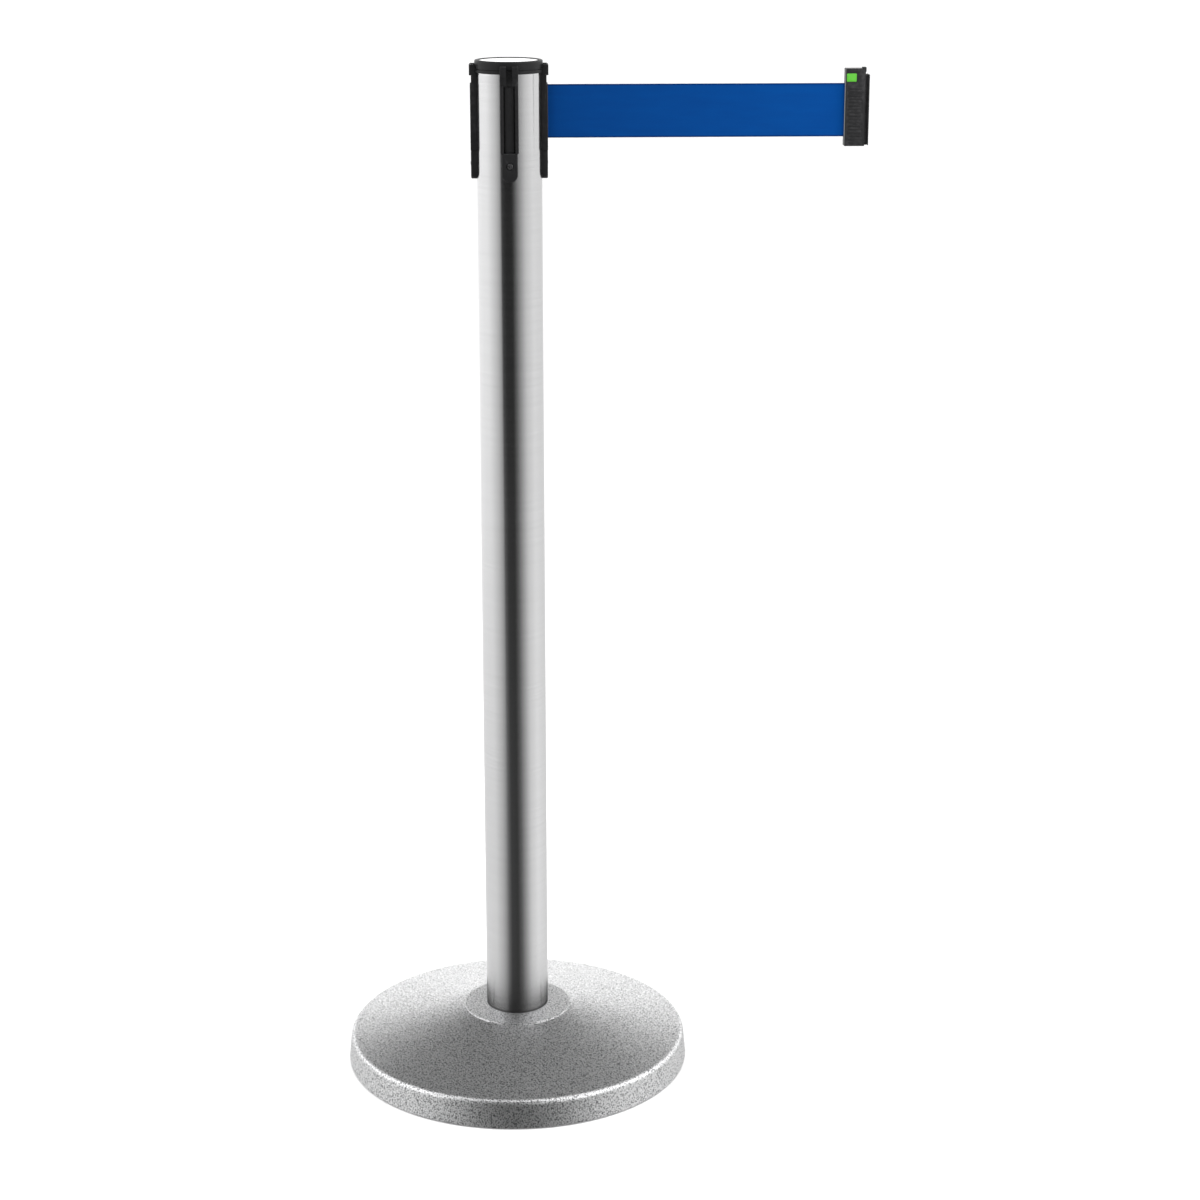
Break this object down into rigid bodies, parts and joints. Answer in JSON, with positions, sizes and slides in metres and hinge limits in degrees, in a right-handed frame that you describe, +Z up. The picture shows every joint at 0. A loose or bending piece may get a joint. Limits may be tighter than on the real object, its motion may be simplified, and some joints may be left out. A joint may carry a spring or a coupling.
{
  "type": "retractable belt stanchion",
  "caption": "Free-standing queue post with a round weighted base, a retractable webbing belt and receivers for belts from other posts.",
  "frame": {"origin": "on the floor, under the tube's axis", "axes": "+Z up along the tube, +X the way the belt pays out, -Y the side seen from the front"},
  "size_m": [0.5157, 0.35, 1.02],
  "materials": {
    "silver_coat": "satin metallic coat with a fine speckle",
    "raw_iron": "cast, dark",
    "black_rubber": "matte",
    "zinc_steel": "zinc plated",
    "spring_steel": "blued",
    "cast_alloy": "as cast",
    "brushed_tube": "brushed round the tube",
    "black_moulding": "fine moulded grain",
    "white_disc": "gloss",
    "black_screw": "black plated",
    "grey_nylon": "matte",
    "white_acetal": "satin",
    "bronze_bush": "plain",
    "brake_lining": "matte",
    "blue_belt": "woven webbing",
    "green_inlay": "satin"
  },
  "bodies": {
    "post": {"base_cover": "silver_coat", "base_weight": "raw_iron", "floor_ring": "black_rubber", "base_bolt": "zinc_steel", "bolt_washer": "zinc_steel", "spring_washer": "spring_steel", "tube_plug": "cast_alloy", "tube": "brushed_tube", "head_ring": "black_moulding", "ring_screws": "zinc_steel", "top_disc": "white_disc", "arm_screws": "black_screw", "cassette_front": "grey_nylon", "cassette_rear": "grey_nylon", "cassette_screws": "zinc_steel", "spool_shaft": "zinc_steel", "shaft_clip": "spring_steel", "guide_pins": "zinc_steel", "belt_guide": "black_moulding", "main_spring": "spring_steel", "brake_drum": "zinc_steel", "thrust_washer": "white_acetal", "belt_strip": "blue_belt", "arm_right": "black_moulding", "tab_right": "black_moulding", "arm_rear": "black_moulding", "tab_rear": "black_moulding", "arm_left": "black_moulding", "tab_left": "black_moulding", "arm_front": "black_moulding", "tab_front": "black_moulding"},
    "spool": {"spool": "white_acetal", "belt_roll": "blue_belt", "core_pin": "zinc_steel", "upper_bush": "bronze_bush", "lower_bush": "bronze_bush", "spring_drum": "white_acetal", "drum_screws": "zinc_steel", "drum_cover": "white_acetal", "brake_carrier": "white_acetal", "brake_springs": "spring_steel"},
    "brake_shoe_a": {"brake_shoe_a": "cast_alloy", "brake_lining_a": "brake_lining"},
    "brake_shoe_b": {"brake_shoe_b": "cast_alloy", "brake_lining_b": "brake_lining"},
    "belt_end": {"belt_loop": "blue_belt", "belt_end_front": "black_moulding", "belt_end_rear": "black_moulding", "end_screws": "black_screw", "belt_pin": "zinc_steel", "tongue": "black_moulding", "inlay": "green_inlay", "lock_spring": "spring_steel"},
    "lock_button": {"lock_button": "black_moulding"}
  },
  "joints": [
    {"name": "belt_pull", "type": "slide", "parent": "post", "child": "belt_end", "axis": [1, 0, 0], "range_m": [-0.28, 2], "stiffness_N_per_m": 1, "springref_m": -5, "deforming": ["belt_strip"]},
    {"name": "spool_spin", "type": "hinge", "parent": "post", "child": "spool", "pos_m": [0, 0, 0.972], "axis": [0, 0, 1], "range_deg": [-780, 5550]},
    {"name": "shoe_a_slide", "type": "slide", "parent": "spool", "child": "brake_shoe_a", "axis": [1, 0, 0], "range_m": [0, 0.0008], "stiffness_N_per_m": 1500, "springref_m": -0.001},
    {"name": "shoe_b_slide", "type": "slide", "parent": "spool", "child": "brake_shoe_b", "axis": [-1, 0, 0], "range_m": [0, 0.0008], "stiffness_N_per_m": 1500, "springref_m": -0.001},
    {"name": "button_press", "type": "slide", "parent": "belt_end", "child": "lock_button", "axis": [0, 0, -1], "range_m": [0, 0.002], "stiffness_N_per_m": 400, "springref_m": -0.002, "deforming": ["lock_spring"]}
  ],
  "couplings": [
    {"joint": "spool_spin", "follows": "belt_pull", "rad_per_m": 48.4}
  ]
}
